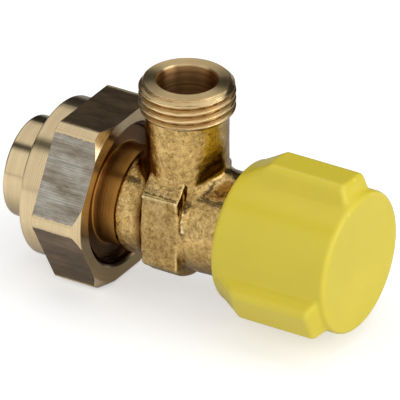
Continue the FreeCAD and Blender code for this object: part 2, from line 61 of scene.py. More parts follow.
# Outlet branch and its thread, G 1/2
outlet_x = 39.8
outlet_top = 32.6
outlet_crest_r = 10.4775
outlet_pitch = 1.814
outlet_thread_depth = 1.162
outlet_thread_end = 26.1
outlet_thread_foot = 25.1
outlet_thread_step = 0.1                 # from one ring of points to the next
outlet_chamfer = 1.1
outlet_mouth_r = 6.8
outlet_mouth_depth = 0.9
outlet_bore_r = 6.4
outlet_bore_inset = 0.04
outlet_bore_foot = 12.5
outlet_bore_step = 1.5
branch_r = 9.1
branch_tuck = ((0.6, 0.25), (0.1, 0.02))  # rings under the skin: how far below the foot, and how far in
thread_steepness = 1.35                  # of the flanks, against an even zigzag

# Union thread, G 1, cut off at the pitch line as in the solids
union_pitch = 2.309
union_crest_r = 15.885
union_root_r = 15.15
union_nut_root_r = 15.93
union_thread_step = 0.12
spigot_rear = 16.5
spigot_front = 22.7
spigot_chamfer = 1.0
relief_r = 11.2
relief_front = 28.0
relief_hollow = ((0.0, 0.4), (0.15, 0.1))  # rings at the spigot's foot: how far in front, and how far out
relief_start = 0.4                       # of the plain relief, in front of the spigot
relief_tuck = 0.5                        # how far it runs on under the forged skin
relief_step = 0.8
waterway_r = 7.6
waterway_end = 29.6
waterway_step = 1.2
flange_front = 14.5
nut_mouth_front = 24.9
nut_thread_rear_gap = 0.1                # from the flange to the nut's thread
nut_thread_front_gap = 0.6               # from there to the nut's mouth
nut_thread_lift = 0.06
nut_thread_sunk = 0.02                   # how far its roots lie under the nut's plain bore

# Softened copies of solids
weld_distance = 0.0005
smoothing_factor = 0.5

# Forged skin of the body
skin_voxel = 0.25
skin_smoothing = 10
skin_lump_size = 3.2
skin_lump_height = 0.07
fine_lump_size = 0.45                    # of the lumps on the lumps, as a share of their size
fine_lump_height = 0.5                   # and of their height
skin_sunk = 0.5                          # how far the lumps lie below the solid, as a share of their height
skin_under_thread = 0.25                 # how far below the thread's foot the skin ends
skin_from_relief = 0.1                   # how far in front of the relief's end it begins

# Flash that the forging dies left along the front wrench flat's edges: ends, half width and height
forging_ridges = (
    ((43.4, -8.9, 9.6), (44.8, -10.2, 7.0), 0.80, 0.60),
    ((44.8, -10.2, 7.0), (45.7, -11.5, 2.6), 0.95, 1.00),
    ((35.6, -11.8, 8.4), (43.4, -11.8, 8.7), 0.45, 0.22),
)
ridge_unevenness = 0.4
ridge_waviness = 1.1                     # of that unevenness, to the millimetre
ridge_smoothing = 3
ridge_felt = 0.1                         # height from which it is smoothed, as a share of the skin's voxel

# Moulded handwheel
wheel_voxel = 0.3
wheel_smoothing = 5
wheel_rear_soft = 60.5                   # behind this place the slopes melt into each other
wheel_rear_smoothing = 25

# Union nut
nut_turned_corner_r = 21.33
nut_flat_distance = 18.9                 # the flats lie a little farther out than this
nut_flat_area = 2.0                      # and the faces on them are larger than this
side_face = 0.1                          # a side face points less than this along the main axis
end_face = 0.9                           # and an end face points more than this along its piece's axis

# Colours. A ramp is a row of stops, each with a pattern's value and the colour there.
white = (1.0, 1.0, 1.0)
# The next two colours darken the insides of bores: painted shade
dark_brass = (0.34, 0.19, 0.08)
bore_brass = (0.60, 0.33, 0.13)
main_brass = (0.73, 0.57, 0.335)
outlet_brass = (0.86, 0.645, 0.335)
faced_brass = (0.88, 0.65, 0.33)
nut_brass_colour = (0.71, 0.555, 0.33)
# Reddish cut brass of the spigot, darkened partly as painted shade inside the nut
cut_thread_brass = (0.60, 0.29, 0.065)
# Nearly black painted shade on the nut's thread and on the spigot's end
nut_thread_painted_shade = (0.15, 0.072, 0.022)
wheel_yellow = (0.92, 0.765, 0.095)
slip_white = (0.75, 0.73, 0.66)

# Edges and corners of every surface
broken_edge = 0.15                       # radius that an edge seems to have
bevel_samples = 4
corner_samples = 6

# Forged brass. Patterns are scale to the metre, detail and roughness; reliefs are strength and height.
patch_pattern = (170, 4, 0.6)
streak_pattern = (900, 3, 0.6)
streak_stretch = (1.0, 1.0, 0.12)
grain_pattern = (2400, 3, 0.6)
mottle_pattern = (820, 5, 0.75)
pit_pattern = (1300, 3, 0.65)
dent_pattern = (560, 3, 0.55)
patch_ramp = ((0.30, (0.60, 0.40, 0.145)), (0.52, (0.84, 0.60, 0.245)), (0.72, (0.97, 0.74, 0.36)))
mottle_ramp = ((0.36, (0.50, 0.46, 0.40)), (0.50, (0.84, 0.83, 0.80)), (0.62, white))
streak_ramp = ((0.36, (0.88, 0.85, 0.80)), (0.60, white))
pit_ramp = ((0.31, (0.45, 0.36, 0.27)), (0.39, white))
grain_ramp = ((0.36, (0.74, 0.70, 0.64)), (0.56, white))
# Hollow places and corners darker: brown oxide together with painted shade
hollow_oxide_shade_ramp = ((0.455, (0.30, 0.20, 0.12)), (0.492, (0.84, 0.81, 0.77)), (0.54, white))
corner_oxide_shade_ramp = ((0.45, (0.55, 0.42, 0.30)), (0.80, white))
corner_oxide_shade_reach = 3.0                        # how far from a corner the oxide and painted shade reach
# Sharp edges turn bright: wear, and a painted highlight
worn_edge_highlight_colour = (0.86, 0.68, 0.36)
worn_edge_highlight = (0.515, 0.545)               # pointedness at which an edge's wear and painted highlight start, and are full
forged_roughness = (0.09, 0.22)
dent_relief = (0.32, 0.30)
grain_relief = (0.45, 0.07)

# Oxide on the body's wrench flats, which lie 11.9 out to either side, and painted shade at the collar's
# foot
flat_tarnish = (11.72, 11.82)            # how far out it starts, and is full
flat_tarnish_colour = (0.75, 0.74, 0.76)
collar_corner = 35.1                     # where the collar rises from the neck
collar_shade_rear = (-2.2, -0.8)         # from there, where the painted shade starts and is full
collar_shade_front = (0.4, 0.1)          # and where it has ended and is still full
collar_shade_colour = (0.34, 0.24, 0.15)

# Machined brass
tool_mark_pattern = (4200, 2, 0.5)
chatter_pattern = (1100, 3, 0.6)
tint_pattern = (140, 3, 0.55)
tint_ends = (0.40, 0.60)                 # pattern's values at the darker and at the full colour
tint_depth = 0.84                        # of the darker colour, as a share of the full one
inside_ends = (0.35, 0.65)               # the same for the inside
inside_depth = 0.5
inside_blend = 0.1                       # to either side of the radius where the darker inside, painted shade, begins
# Grime and painted shade in corners and thread roots, by how open a place is
grime_shade_colour = (0.30, 0.17, 0.06)
grime_shade_reach = 1.0
grime_shade_full = 0.5                         # as a share of how open a clean, unshaded place is
gloss_spread = (0.8, 1.2)                # least and most, as shares of the roughness
tool_mark_height = 0.08
chatter_strength = 0.2                   # as a share of the tool marks'
chatter_height = 0.2
quarter_turn = 0.25                      # lays the shine across the tool marks

# Drawn flats of the hexagon
flat_scratch_pattern = (7000, 3, 0.65)
flat_scratch_stretch = (0.006, 1.0, 1.0)
flat_patch_pattern = (300, 5, 0.7)
flat_patch_stretch = (0.35, 1.0, 1.0)
flat_border_pattern = (1500, 4, 0.6)
flat_border_rag = 0.45
flat_border_blend = 0.04
flat_border_colour = (0.68, 0.535, 0.31)
lit_flat = math.radians(31.2)          # how far up the flat with the painted light faces, from the front
# Lit and shaded copies of the flats' colour: painted light and painted shade
lit_flat_ends = (0.84, 0.89)
lit_flat_ramp = ((0.34, (0.25, 0.20, 0.15)), (0.5, (0.40, 0.36, 0.29)), (0.66, (0.56, 0.54, 0.47)))
shaded_flat_ramp = ((0.34, (0.11, 0.072, 0.042)), (0.66, (0.25, 0.170, 0.094)))
flat_scratch_ramp = ((0.34, (0.52, 0.50, 0.48)), (0.60, white))
flat_scratch_relief = (0.6, 0.05)
flat_roughness = (0.26, 0.42)

# Moulded plastic
cloud_pattern = (60, 3, 0.5)
cloud_ends = (0.3, 0.7)
cloud_depth = 0.94
# Convex edges lighter than the faces: painted highlight
edge_highlight_ramp = ((0.505, (0.88, 0.86, 0.60)), (0.56, white))
satin_pattern = (300, 3, 0.5)
satin_spread = (0.9, 1.15)
orange_peel_pattern = (2500, 2, 0.5)
orange_peel_relief = (0.08, 0.05)
light_let_in = 0.08                      # share that goes into the plastic
light_reach = (0.002, 0.0015, 0.0004)    # and how far, in metres, for red, green and blue

# Rubber, fibre and steel
rubber_pattern = (400, 3, 0.5)
rubber_ramp = ((0.3, (0.012, 0.012, 0.012)), (0.7, (0.03, 0.03, 0.03)))
rubber_grain_pattern = (3000, 2, 0.5)
rubber_grain_relief = (0.2, 0.03)
rubber_roughness = (0.5, 0.7)
fibre_pattern = (2200, 4, 0.7)
fibre_ramp = ((0.3, (0.13, 0.06, 0.035)), (0.7, (0.30, 0.16, 0.10)))
fibre_relief = (0.3, 0.04)
fibre_roughness = 0.8
steel_pattern = (700, 4, 0.6)
steel_ramp = ((0.3, (0.34, 0.34, 0.35)), (0.7, (0.55, 0.55, 0.56)))
steel_roughness = (0.25, 0.42)

# Studio: lamps as name, place, width in metres and power in watts
lamps = (
    ("key", (0.75, -0.85, 0.75), 0.9, 0.6),
    ("side", (1.0, 0.15, 0.3), 0.8, 3.8),
)

# Brightness of the studio over the angle about the main axis, in degrees from straight up to the front
studio_bands = (
    (-180, 0.0), (-54, 0.03), (-47, 0.85), (12, 0.98), (19, 0.04), (26, 0.04), (36, 1.0),
    (87.0, 1.0), (88.0, 0.4), (91, 0.4), (92, 1.0), (180, 1.0),
)
horizon_white = (0.02, 0.14)             # height of a ray at which the white backdrop ends and is gone
horizon_front = (-0.60, -0.35)           # how far forward a ray points where it begins and is full
horizon_end = (0.30, 0.10)               # and where it has gone over into the panels
studio_left = (-0.84, -0.64)             # how far to the inlet's side a ray points where the studio ends

# Floor, with its lengths in metres
floor_width = 8.0
floor_gap = 0.3 * MM                     # from the floor to the object
floor_colour = (0.80, 0.80, 0.80)
floor_roughness = 0.9
floor_lift = 0.50                        # glow of the floor as the camera sees it
mirrored_lift = 0.45                     # and as shiny surfaces see it in front of the object
in_front = (-0.006, -0.030)              # how far in front that glow starts and is full
behind = (0.005, 0.045)                  # how far back the floor starts and ends to darken for them
beside = (0.095, 0.070)                  # and how far towards the handwheel's end
behind_colour = (0.48, 0.48, 0.48)

# View of the photograph: angles in degrees, and where the camera's sight starts and ends in metres
view_azimuth = 30.77
view_elevation = 29.91
view_distance = 2054.0
view_pixels = 9558.0
frame_pixels = 400
camera_right = 2.72
camera_up = 2.48
sensor = 36.0
view_start = 0.05
view_end = 20

# Places of the colours among the sockets of a mix node
mix_first = 6
mix_second = 7
mix_result = 2


def add_object(name, mesh, body, replaced=()):
    """Links a finished mesh, in metres, as a piece that rides on a body."""
    obj = bpy.data.objects.new(name, mesh)
    bpy.context.scene.collection.objects.link(obj)
    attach(obj, body)
    if replaced:
        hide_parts(*replaced)
    return obj


def mesh_from_rows(name, rows, placed):
    """Surface round an axis: each row is a ring of (position, radius, angle), placed in space."""
    mesh = bpy.data.meshes.new(name)
    shape = bmesh.new()
    rings = [[shape.verts.new(placed(*point)) for point in row] for row in rows]
    for lower, upper in zip(rings, rings[1:]):
        count = len(lower)
        for k in range(count):
            after = (k + 1) % count
            shape.faces.new((lower[k], lower[after], upper[after], upper[k]))
    bmesh.ops.recalc_face_normals(shape, faces=shape.faces)
    shape.to_mesh(mesh)
    shape.free()
    mesh.shade_smooth()
    mesh.set_sharp_from_angle(angle=sharp_edge)
    return mesh


def about_z(position, radius, angle):
    """Point on a ring about the outlet's axis."""
    return Vector((outlet_x + radius * math.cos(angle), radius * math.sin(angle), position)) * MM


def about_x(position, radius, angle):
    """Point on a ring about the main axis."""
    return Vector((position, -radius * math.sin(angle), radius * math.cos(angle))) * MM


def thread_depth_share(position, angle, pitch):
    """0 on the crest and 1 at the root of a right-hand thread, with rounded crest and root."""
    turn = (position / pitch - angle / math.tau) % 1.0
    wave = abs(2 * turn - 1)
    sharpened = min(max((wave - 0.5) * thread_steepness + 0.5, 0.0), 1.0)
    return sharpened * sharpened * (3 - 2 * sharpened)


def steps(start, end, step):
    """Evenly spaced positions from start to end, both included."""
    count = max(1, round(abs(end - start) / step))
    return [start + (end - start) * k / count for k in range(count + 1)]


def plain_ring(position, radius):
    """Ring at one position with one radius."""
    return [(position, radius, math.tau * k / ring_points) for k in range(ring_points)]


def shaped_ring(position, radius_at):
    """Ring at one position whose radius a function gives for each angle."""
    angles = [math.tau * k / ring_points for k in range(ring_points)]
    return [(position, radius_at(position, angle), angle) for angle in angles]


def outlet_outside(z, angle):
    """Radius of the branch's end: the thread, within the slope below it and the chamfer above."""
    thread = outlet_crest_r - outlet_thread_depth * thread_depth_share(z, angle, outlet_pitch)
    rise = (z - outlet_thread_foot) / (outlet_thread_end - outlet_thread_foot)
    slope = branch_r + rise * (outlet_crest_r - branch_r)
    chamfer = outlet_crest_r - outlet_chamfer + (outlet_top - z)
    return max(min(thread, slope, chamfer), branch_r)


def spigot_outside(x, angle):
    """Radius of the spigot: the union thread, chamfered at both ends."""
    share = thread_depth_share(x, angle, union_pitch)
    thread = union_crest_r - (union_crest_r - union_root_r) * share
    from_end = min(x - spigot_rear, spigot_front - x)
    return min(thread, union_crest_r - spigot_chamfer + from_end)


def nut_inside(x, angle):
    """Radius of the nut's thread, whose roots lie just under the plain bore."""
    share = thread_depth_share(x + union_pitch / 2, angle, union_pitch)
    thread = union_root_r + (union_nut_root_r - union_root_r) * share + nut_thread_lift
    return min(thread, union_nut_root_r + nut_thread_sunk)


def outlet_thread_piece():
    """Threaded end of the branch: helical thread, chamfer, flat face and bore."""
    mouth_foot = outlet_top - outlet_mouth_depth
    rows = [plain_ring(outlet_thread_foot - below, branch_r - inward) for below, inward in branch_tuck]
    for z in steps(outlet_thread_foot, outlet_top, outlet_thread_step):
        rows.append(shaped_ring(z, outlet_outside))
    rows.append(plain_ring(outlet_top, outlet_mouth_r))
    rows.append(plain_ring(mouth_foot, outlet_bore_r))
    for z in steps(mouth_foot, outlet_bore_foot, outlet_bore_step)[1:]:
        rows.append(plain_ring(z, outlet_bore_r - outlet_bore_inset))
    mesh = mesh_from_rows("outlet_thread", rows, about_z)
    return add_object("outlet_thread", mesh, "valve", ["valve_body"])


def union_spigot_piece():
    """Threaded spigot, relief and inlet bore of the body, about the main axis."""
    rows = [plain_ring(x, waterway_r) for x in steps(waterway_end, spigot_rear, waterway_step)]
    for x in steps(spigot_rear, spigot_front, union_thread_step):
        rows.append(shaped_ring(x, spigot_outside))
    for before, outward in relief_hollow:
        rows.append(plain_ring(spigot_front + before, relief_r + outward))
    for x in steps(spigot_front + relief_start, relief_front + relief_tuck, relief_step):
        rows.append(plain_ring(x, relief_r))
    mesh = mesh_from_rows("union_spigot", rows, about_x)
    return add_object("union_spigot", mesh, "valve", ["valve_body"])


def nut_thread_piece():
    """Inside thread of the union nut, lying in its plain bore."""
    rear = flange_front + nut_thread_rear_gap
    front = nut_mouth_front - nut_thread_front_gap
    rows = [shaped_ring(x, nut_inside) for x in steps(rear, front, union_thread_step)]
    mesh = mesh_from_rows("nut_thread", rows, about_x)
    return add_object("nut_thread", mesh, "nut")


def evaluated_mesh(obj, name):
    """Mesh of an object with its modifiers applied."""
    bpy.context.view_layer.update()
    depsgraph = bpy.context.evaluated_depsgraph_get()
    mesh = bpy.data.meshes.new_from_object(obj.evaluated_get(depsgraph))
    mesh.name = name
    return mesh


def softened_copy(node, name, voxel, smoothing):
    """Evenly meshed copy of a solid with its edges rounded off, in millimetres."""
    mesh = nodes[node].data.copy()
    mesh.transform(Matrix.Scale(1 / MM, 4))
    mesh.materials.clear()
    welded = bmesh.new()
    welded.from_mesh(mesh)
    bmesh.ops.remove_doubles(welded, verts=welded.verts, dist=weld_distance)
    welded.to_mesh(mesh)
    welded.free()
    helper = bpy.data.objects.new(name + "_helper", mesh)
    bpy.context.scene.collection.objects.link(helper)
    remesh = helper.modifiers.new("even", "REMESH")
    remesh.mode = "VOXEL"
    remesh.voxel_size = voxel
    smooth = helper.modifiers.new("soft", "SMOOTH")
    smooth.factor = smoothing_factor
    smooth.iterations = smoothing
    result = evaluated_mesh(helper, name)
    bpy.data.objects.remove(helper)
    bpy.data.meshes.remove(mesh)
    return result


def smooth_verts(shape, verts, rounds):
    """Moves vertices towards the middle of their neighbours, several times."""
    for _ in range(rounds):
        bmesh.ops.smooth_vert(shape, verts=verts, factor=smoothing_factor,
                              use_axis_x=True, use_axis_y=True, use_axis_z=True)


def cut_beyond(shape, place, direction):
    """Cuts away what lies beyond a plane through a place, on the side that the direction points to."""
    everything = shape.verts[:] + shape.edges[:] + shape.faces[:]
    bmesh.ops.bisect_plane(shape, geom=everything, plane_co=place, plane_no=direction, clear_outer=True)


def finished_skin(shape, mesh):
    """Writes an edited shape back to its mesh, in metres and smoothly shaded."""
    shape.to_mesh(mesh)
    shape.free()
    mesh.transform(Matrix.Scale(MM, 4))
    mesh.shade_smooth()


def lump_height(place):
    """Height of the forged skin's unevenness at a place on the body."""
    coarse = noise.noise(place / skin_lump_size)
    fine = noise.noise(place / (fine_lump_size * skin_lump_size))
    return skin_lump_height * (coarse + fine_lump_height * fine - skin_sunk)


def ridge_height(place):
    """Height of the forging's flash at a place on the body."""
    height = 0.0
    for start, end, half_width, top in forging_ridges:
        share = geometry.intersect_point_line(place, Vector(start), Vector(end))[1]
        nearest = Vector(start).lerp(Vector(end), min(max(share, 0.0), 1.0))
        uneven = 1 + ridge_unevenness * noise.noise(ridge_waviness * place)
        height = max(height, top * uneven * math.exp(-((place - nearest).length / half_width) ** 2))
    return height


def body_skin_piece():
    """Forged skin with blended junctions. The machined ends are cut away and made separately."""
    mesh = softened_copy("valve_body", "body_skin", skin_voxel, skin_smoothing)
    shape = bmesh.new()
    shape.from_mesh(mesh)
    cut_beyond(shape, (0, 0, outlet_thread_foot - skin_under_thread), (0, 0, 1))
    cut_beyond(shape, (relief_front + skin_from_relief, 0, 0), (-1, 0, 0))
    shape.normal_update()
    raised = []
    for vert in shape.verts:
        ridge = ridge_height(vert.co)
        vert.co += vert.normal * (lump_height(vert.co) + ridge)
        if ridge > ridge_felt * skin_voxel:
            raised.append(vert)
    smooth_verts(shape, raised, ridge_smoothing)
    finished_skin(shape, mesh)
    return add_object("body_skin", mesh, "valve", ["valve_body"])


def handwheel_piece():
    """Moulded handwheel with soft edges."""
    mesh = softened_copy("handwheel", "handwheel_moulding", wheel_voxel, wheel_smoothing)
    shape = bmesh.new()
    shape.from_mesh(mesh)
    rear = [vert for vert in shape.verts if vert.co.x < wheel_rear_soft]
    smooth_verts(shape, rear, wheel_rear_smoothing)
    finished_skin(shape, mesh)
    return add_object("handwheel_moulding", mesh, "wheel", ["handwheel"])


def nut_piece():
    """Union nut as in the solid, with its hexagon flats ready for their own material."""
    mesh = nodes["union_nut"].data.copy()
    mesh.name = "union_nut_shell"
    return add_object("union_nut_shell", mesh, "nut", ["union_nut"])


class Nodes:
    """Short way to write a material's node tree."""

    def __init__(self, name):
        self.material = bpy.data.materials.new(name)
        self.material.use_nodes = True
        self.tree = self.material.node_tree
        self.shader = self.tree.nodes["Principled BSDF"]

    @classmethod
    def of_tree(cls, tree):
        """The same short way for a tree that exists."""
        writer = cls.__new__(cls)
        writer.tree = tree
        return writer

    def add(self, kind, **values):
        """New node, with its settings and the values of its sockets by name."""
        node = self.tree.nodes.new(kind)
        for key, value in values.items():
            if hasattr(node, key):
                setattr(node, key, value)
            else:
                node.inputs[key.replace("_", " ")].default_value = value
        return node

    def join(self, out, into):
        """Link from an output to an input."""
        self.tree.links.new(out, into)

    def shade(self, socket, value):
        """Gives the shader's socket a link or a constant."""
        if isinstance(value, bpy.types.NodeSocket):
            self.join(value, self.shader.inputs[socket])
        else:
            self.shader.inputs[socket].default_value = value

    def split(self, coordinates="Object"):
        """X, Y and Z of the place that is shaded, by name."""
        parts = self.add("ShaderNodeSeparateXYZ")
        self.join(self.add("ShaderNodeTexCoord").outputs[coordinates], parts.inputs[0])
        return parts.outputs

    def noise(self, scale, detail, roughness, stretch=None, coordinates=None):
        """Noise in the object's own frame, optionally stretched."""
        if coordinates is None:
            coordinates = self.add("ShaderNodeTexCoord").outputs["Object"]
        if stretch is not None:
            mapping = self.add("ShaderNodeMapping")
            mapping.inputs["Scale"].default_value = stretch
            self.join(coordinates, mapping.inputs["Vector"])
            coordinates = mapping.outputs["Vector"]
        node = self.add("ShaderNodeTexNoise", Scale=scale, Detail=detail, Roughness=roughness)
        self.join(coordinates, node.inputs["Vector"])
        return node.outputs["Fac"]

    def about(self, axis):
        """Position along the main axis or the outlet's axis, and distance from it, in metres."""
        place = self.split()
        if axis == "X":
            along = place["X"]
            aside = place["Z"]
        else:
            along = place["Z"]
            aside = self.math("SUBTRACT", place["X"], outlet_x * MM)
        squares = self.math("ADD", self.squared(place["Y"]), self.squared(aside))
        return along, self.math("SQRT", squares, 0.0)

    def squared(self, value):
        """A value times itself."""
        return self.math("MULTIPLY", value, value)

    def ramp(self, value, stops):
        """Colour ramp through (position, colour) stops."""
        node = self.add("ShaderNodeValToRGB")
        self.join(value, node.inputs["Fac"])
        elements = node.color_ramp.elements
        elements[0].position = stops[0][0]
        elements[1].position = stops[-1][0]
        for position, _ in stops[1:-1]:
            elements.new(position)
        for element, (_, colour) in zip(elements, stops):
            element.color = (*colour, 1.0)
        return node.outputs["Color"]

    def scaled(self, value, low, high):
        """Value from 0 to 1 brought to low to high."""
        node = self.add("ShaderNodeMapRange")
        node.inputs["To Min"].default_value = low
        node.inputs["To Max"].default_value = high
        self.join(value, node.inputs["Value"])
        return node.outputs["Result"]

    def share(self, value, start, end, interpolation="LINEAR"):
        """0 before start, 1 after end and rising between, in either order."""
        node = self.add("ShaderNodeMapRange", interpolation_type=interpolation)
        node.inputs["From Min"].default_value = start
        node.inputs["From Max"].default_value = end
        self.join(value, node.inputs["Value"])
        return node.outputs["Result"]

    def math(self, operation, first, second):
        """Result of a sum with two values or outputs."""
        node = self.add("ShaderNodeMath", operation=operation)
        for value, socket in ((first, node.inputs[0]), (second, node.inputs[1])):
            if isinstance(value, (int, float)):
                socket.default_value = value
            else:
                self.join(value, socket)
        return node.outputs["Value"]

    def mix(self, share, first, second):
        """Colour mixed from two colours or colour outputs."""
        node = self.add("ShaderNodeMix", data_type="RGBA")
        self.join(share, node.inputs["Factor"])
        for value, socket in ((first, node.inputs[mix_first]), (second, node.inputs[mix_second])):
            if isinstance(value, tuple):
                socket.default_value = (*value, 1.0)
            else:
                self.join(value, socket)
        return node.outputs[mix_result]

    def times(self, first, *others):
        """Product of colours."""
        for other in others:
            node = self.add("ShaderNodeMix", data_type="RGBA", blend_type="MULTIPLY", Factor=1.0)
            self.join(first, node.inputs[mix_first])
            self.join(other, node.inputs[mix_second])
            first = node.outputs[mix_result]
        return first

    def bump(self, height, strength, distance, after=None):
        """Surface relief, over softly broken edges or over another relief."""
        node = self.add("ShaderNodeBump", Strength=strength, Distance=distance * MM)
        self.join(height, node.inputs["Height"])
        if after is None:
            broken = self.add("ShaderNodeBevel", samples=bevel_samples, Radius=broken_edge * MM)
            after = broken.outputs["Normal"]
        self.join(after, node.inputs["Normal"])
        return node.outputs["Normal"]

    def pointed(self):
        """How far the surface juts out, from hollow to edge."""
        return self.add("ShaderNodeNewGeometry").outputs["Pointiness"]

    def open_to(self, reach):
        """How open a place is, against the piece's own walls within reach."""
        node = self.add("ShaderNodeAmbientOcclusion", samples=corner_samples, only_local=True,
                        Distance=reach * MM)
        return node.outputs["AO"]


def forged_brass():
    """Forged brass: bright grains, worn high spots with a painted highlight, brown oxide and painted shade
    in hollow places and corners, oxide on the flats, painted shade at the collar's foot.
    """
    look = Nodes("forged_brass")
    place = look.split()
    grains = look.noise(*grain_pattern)
    pointed = look.pointed()
    base = look.ramp(look.noise(*patch_pattern), patch_ramp)
    grit = look.ramp(grains, grain_ramp)
    lines = look.ramp(look.noise(*streak_pattern, streak_stretch), streak_ramp)
    # Oxide and painted shade in hollow places and near corners
    hollow_oxide_shade = look.ramp(pointed, hollow_oxide_shade_ramp)
    corner_oxide_shade = look.ramp(look.open_to(corner_oxide_shade_reach), corner_oxide_shade_ramp)
    pits = look.ramp(look.noise(*pit_pattern), pit_ramp)
    mottle = look.ramp(look.noise(*mottle_pattern), mottle_ramp)
    on_flat = look.share(look.math("ABSOLUTE", place["Y"], 0.0), *(out * MM for out in flat_tarnish))
    tarnish = look.mix(on_flat, white, flat_tarnish_colour)
    # Painted shade of a groove at the collar's foot
    rising = look.share(place["X"], *((collar_corner + offset) * MM for offset in collar_shade_rear))
    falling = look.share(place["X"], *((collar_corner + offset) * MM for offset in collar_shade_front))
    collar_shade = look.mix(look.math("MULTIPLY", rising, falling), white, collar_shade_colour)
    skin = look.times(base, grit, lines, hollow_oxide_shade, corner_oxide_shade, tarnish, collar_shade, pits, mottle)
    # Worn edges with a painted highlight over the skin
    look.shade("Base Color", look.mix(look.share(pointed, *worn_edge_highlight), skin, worn_edge_highlight_colour))
    look.shade("Roughness", look.scaled(grains, *forged_roughness))
    dents = look.bump(look.noise(*dent_pattern), *dent_relief)
    look.shade("Normal", look.bump(grains, *grain_relief, dents))
    look.shade("Metallic", 1.0)
    return look.material


def turned_brass(name, axis, colour, inner_colour, inner_r, roughness, marks, spread=0.7, clean_and_lit=0.70):
    """Machined brass with tool marks round its axis, grime and painted shade in corners and thread roots,
    and painted shade below a radius, in millimetres.
    """
    look = Nodes(name)
    along, radius = look.about(axis)
    section = look.add("ShaderNodeCombineXYZ")
    look.join(along, section.inputs["X"])
    look.join(radius, section.inputs["Y"])
    tool_marks = look.noise(*tool_mark_pattern, coordinates=section.outputs[0])
    chatter = look.noise(*chatter_pattern, coordinates=section.outputs[0])
    tint = look.math("MULTIPLY", look.math("ADD", look.noise(*tint_pattern), tool_marks), 0.5)
    deeper = tuple(tint_depth * channel for channel in colour)
    # Darker inside the bore: painted shade
    shaded_inside = tuple(inside_depth * channel for channel in inner_colour)
    outer = look.ramp(tint, tuple(zip(tint_ends, (deeper, colour))))
    inner = look.ramp(tool_marks, tuple(zip(inside_ends, (shaded_inside, inner_colour))))
    inside = look.share(radius, (inner_r + inside_blend) * MM, (inner_r - inside_blend) * MM)
    # Grime and painted shade where the piece's own walls close in
    grime_shade_ramp = ((grime_shade_full * clean_and_lit, grime_shade_colour), (clean_and_lit, white))
    grime_shade = look.ramp(look.open_to(grime_shade_reach), grime_shade_ramp)
    look.shade("Base Color", look.times(look.mix(inside, outer, inner), grime_shade))
    look.shade("Roughness", look.scaled(chatter, *(share * roughness for share in gloss_spread)))
    waves = look.bump(chatter, chatter_strength * marks, chatter_height)
    look.shade("Normal", look.bump(tool_marks, marks, tool_mark_height, waves))
    look.shade("Tangent", look.add("ShaderNodeTangent", direction_type="RADIAL", axis=axis).outputs[0])
    look.shade("Anisotropic", spread)
    look.shade("Anisotropic Rotation", quarter_turn)
    look.shade("Metallic", 1.0)
    return look.material


def drawn_flats():
    """Dull drawn hexagon flats: scratches along the axis, ragged edges, painted light on the flats that
    face one way and painted shade away from it.
    """
    look = Nodes("drawn_flats")
    place = look.split()
    radius = look.about("X")[1]
    # Painted light on the flats that face up and forward, painted shade on the others
    forward = look.math("MULTIPLY", place["Y"], -math.cos(lit_flat))
    upward = look.math("MULTIPLY", place["Z"], math.sin(lit_flat))
    towards = look.math("DIVIDE", look.math("ADD", forward, upward), radius)
    scratches = look.noise(*flat_scratch_pattern, flat_scratch_stretch)
    patches = look.noise(*flat_patch_pattern, flat_patch_stretch)
    bright = look.ramp(patches, lit_flat_ramp)
    dark = look.ramp(patches, shaded_flat_ramp)
    lines = look.ramp(scratches, flat_scratch_ramp)
    painted_flat_light = look.times(look.mix(look.share(towards, *lit_flat_ends), dark, bright), lines)
    rag = look.math("MULTIPLY", look.noise(*flat_border_pattern), flat_border_rag * MM)
    border = look.share(look.math("ADD", radius, rag), nut_turned_corner_r * MM,
                     (nut_turned_corner_r + flat_border_blend) * MM)
    look.shade("Base Color", look.mix(border, painted_flat_light, flat_border_colour))
    look.shade("Roughness", look.scaled(scratches, *flat_roughness))
    look.shade("Normal", look.bump(scratches, *flat_scratch_relief))
    look.shade("Metallic", 1.0)
    return look.material


def moulded_plastic(name, colour, roughness, shine):
    """Satin moulded plastic, with a painted highlight on its edges."""
    look = Nodes(name)
    darker = tuple(cloud_depth * channel for channel in colour)
    clouds = look.ramp(look.noise(*cloud_pattern), tuple(zip(cloud_ends, (darker, colour))))
    # Painted highlight on the edges
    edges = look.ramp(look.pointed(), edge_highlight_ramp)
    look.shade("Base Color", look.times(clouds, edges))
    satin = look.noise(*satin_pattern)
    look.shade("Roughness", look.scaled(satin, *(share * roughness for share in satin_spread)))
    look.shade("Normal", look.bump(look.noise(*orange_peel_pattern), *orange_peel_relief))
    look.shade("Specular IOR Level", shine)
    look.shade("Subsurface Weight", light_let_in)
    look.shade("Subsurface Radius", light_reach)
    return look.material


def rubber():
    """Dull black seal rubber."""
    look = Nodes("seal_rubber")
    shade = look.noise(*rubber_pattern)
    look.shade("Base Color", look.ramp(shade, rubber_ramp))
    look.shade("Normal", look.bump(look.noise(*rubber_grain_pattern), *rubber_grain_relief))
    look.shade("Roughness", look.scaled(shade, *rubber_roughness))
    return look.material


def fibre():
    """Pressed fibre sheet of the flat gaskets."""
    look = Nodes("gasket_fibre")
    flecks = look.noise(*fibre_pattern)
    look.shade("Base Color", look.ramp(flecks, fibre_ramp))
    look.shade("Normal", look.bump(flecks, *fibre_relief))
    look.shade("Roughness", fibre_roughness)
    return look.material


def steel():
    """Plain turned or blanked steel."""
    look = Nodes("small_steel")
    shade = look.noise(*steel_pattern)
    look.shade("Base Color", look.ramp(shade, steel_ramp))
    look.shade("Roughness", look.scaled(shade, *steel_roughness))
    look.shade("Metallic", 1.0)
    return look.material


def dress(obj, *materials):
    """Gives an object its materials."""
    obj.data.materials.clear()
    for material in materials:
        obj.data.materials.append(material)


def mark_faces(obj, chosen):
    """Puts the second material on the faces that a test picks."""
    for face in obj.data.polygons:
        face.material_index = 1 if chosen(face) else 0


